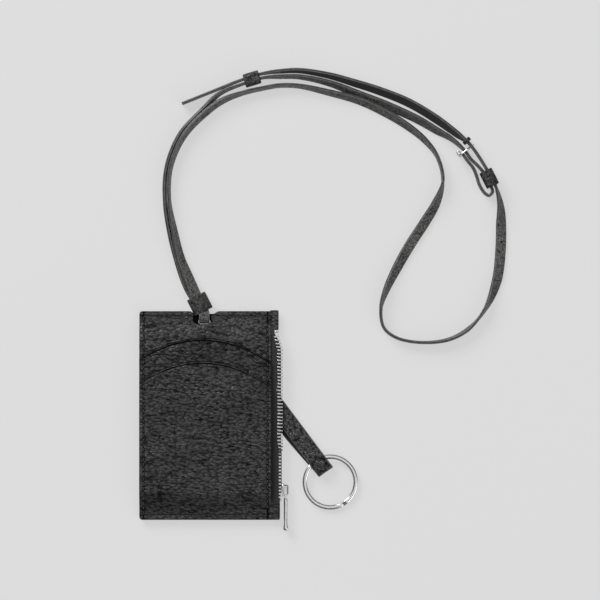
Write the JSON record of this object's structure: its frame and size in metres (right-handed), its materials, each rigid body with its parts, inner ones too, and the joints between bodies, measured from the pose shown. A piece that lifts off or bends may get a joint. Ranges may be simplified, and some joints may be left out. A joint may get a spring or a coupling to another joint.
{
  "type": "neck pouch wallet",
  "caption": "Flat leather neck pouch with two arched card pockets, a side zip pocket, a key ring on an inner strap and an adjustable neck strap.",
  "frame": {"origin": "centre of the pouch on the flat back face that it lies on", "axes": "+Z out of the front of the pouch, +Y towards its top edge and the neck strap, +X towards the zip"},
  "size_m": [0.2204, 0.2776, 0.01],
  "materials": {
    "pebbled_leather": "pebbled, satin",
    "strap_leather": "fine pebbled, satin",
    "lining_fabric": "matt twill",
    "zip_tape": "woven",
    "nickel": "polished"
  },
  "bodies": {
    "pouch": {"back_panel": "pebbled_leather", "front_panel": "pebbled_leather", "upper_card_panel": "pebbled_leather", "lower_card_panel": "pebbled_leather", "left_seam": "pebbled_leather", "rear_lining": "lining_fabric", "front_lining": "lining_fabric", "zip_tab_top": "pebbled_leather", "zip_tab_bottom": "pebbled_leather", "zip_tape_front": "zip_tape", "zip_tape_rear": "zip_tape", "zip_teeth_front": "nickel", "zip_teeth_rear": "nickel", "zip_top_stop_front": "nickel", "zip_top_stop_rear": "nickel", "zip_bottom_stop": "nickel", "neck_strap_long": "strap_leather", "neck_strap_short": "strap_leather", "pouch_keeper": "strap_leather", "fixed_keeper": "strap_leather", "buckle_frame": "nickel"},
    "slider": {"zip_slider": "nickel"},
    "pull": {"zip_pull": "nickel"},
    "key_strap": {"key_strap": "strap_leather"},
    "key_ring": {"key_ring": "nickel"},
    "tail_keeper": {"tail_keeper": "strap_leather"},
    "buckle_keeper": {"buckle_keeper": "strap_leather"},
    "prong": {"buckle_prong": "nickel"}
  },
  "joints": [
    {"name": "zip_slide", "type": "slide", "parent": "pouch", "child": "slider", "axis": [0, 1, 0], "range_m": [0, 0.014]},
    {"name": "pull_swing", "type": "hinge", "parent": "slider", "child": "pull", "pos_m": [0.046, -0.0435, 0.00385], "axis": [0, 0, 1], "range_deg": [0, 48]},
    {"name": "key_strap_swing", "type": "hinge", "parent": "pouch", "child": "key_strap", "pos_m": [0.012, 0.0437, 0.0038], "axis": [0, 0, 1], "range_deg": [0, 20]},
    {"name": "key_ring_swing", "type": "hinge", "parent": "key_strap", "child": "key_ring", "pos_m": [0.06388, -0.02814, 0.0038], "axis": [0.8, 0.6, 0], "range_deg": [0, 150]},
    {"name": "tail_keeper_slide", "type": "slide", "parent": "pouch", "child": "tail_keeper", "axis": [-0.9564, -0.2921, 0], "range_m": [-0.002, 0.004]},
    {"name": "buckle_keeper_slide", "type": "slide", "parent": "pouch", "child": "buckle_keeper", "axis": [0.4512, -0.8924, 0], "range_m": [-0.002, 0.0012]},
    {"name": "prong_swing", "type": "hinge", "parent": "pouch", "child": "prong", "pos_m": [0.15556, 0.16017, 0.0037], "axis": [0, 0, 1], "range_deg": [-4, 4]}
  ]
}
